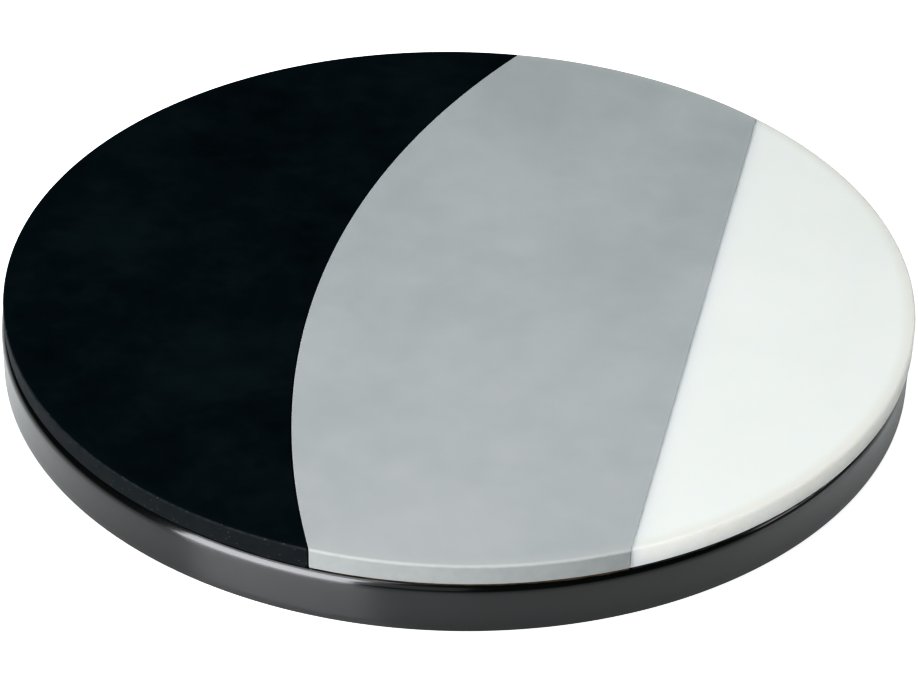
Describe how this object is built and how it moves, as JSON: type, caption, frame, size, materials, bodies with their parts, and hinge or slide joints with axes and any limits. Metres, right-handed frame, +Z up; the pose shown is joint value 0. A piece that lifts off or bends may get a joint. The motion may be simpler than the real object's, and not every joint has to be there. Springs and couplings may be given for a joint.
{
  "type": "practice pad",
  "caption": "Round tabletop drum practice pad: black base board, rubber playing surface in three segments, rubber feet and a threaded stand insert.",
  "frame": {"origin": "on the table, under the centre of the base board", "axes": "+Z up out of the playing surface, +X along the colour pattern's axis from the black pad to the white pad"},
  "size_m": [0.3055, 0.3048, 0.0305],
  "materials": {
    "base_lacquer": "satin black lacquer over fibreboard",
    "black_rubber": "matte black silicone rubber",
    "grey_rubber": "matte mid grey silicone rubber",
    "white_rubber": "satin off-white silicone rubber",
    "glue": "cured contact adhesive",
    "foot_rubber": "matte black rubber",
    "zinc_steel": "zinc plated",
    "nickel_steel": "nickel plated"
  },
  "bodies": {
    "root": {"base_board": "base_lacquer", "black_pad": "black_rubber", "grey_pad": "grey_rubber", "white_pad": "white_rubber", "black_glue_film": "glue", "grey_glue_film": "glue", "white_glue_film": "glue", "foot_1": "foot_rubber", "foot_2": "foot_rubber", "foot_3": "foot_rubber", "foot_4": "foot_rubber", "foot_washer_1": "zinc_steel", "foot_washer_2": "zinc_steel", "foot_washer_3": "zinc_steel", "foot_washer_4": "zinc_steel", "foot_screw_1": "zinc_steel", "foot_screw_2": "zinc_steel", "foot_screw_3": "zinc_steel", "foot_screw_4": "zinc_steel", "stand_insert": "nickel_steel", "insert_screw_1": "zinc_steel", "insert_screw_2": "zinc_steel", "insert_screw_3": "zinc_steel"}
  },
  "joints": []
}
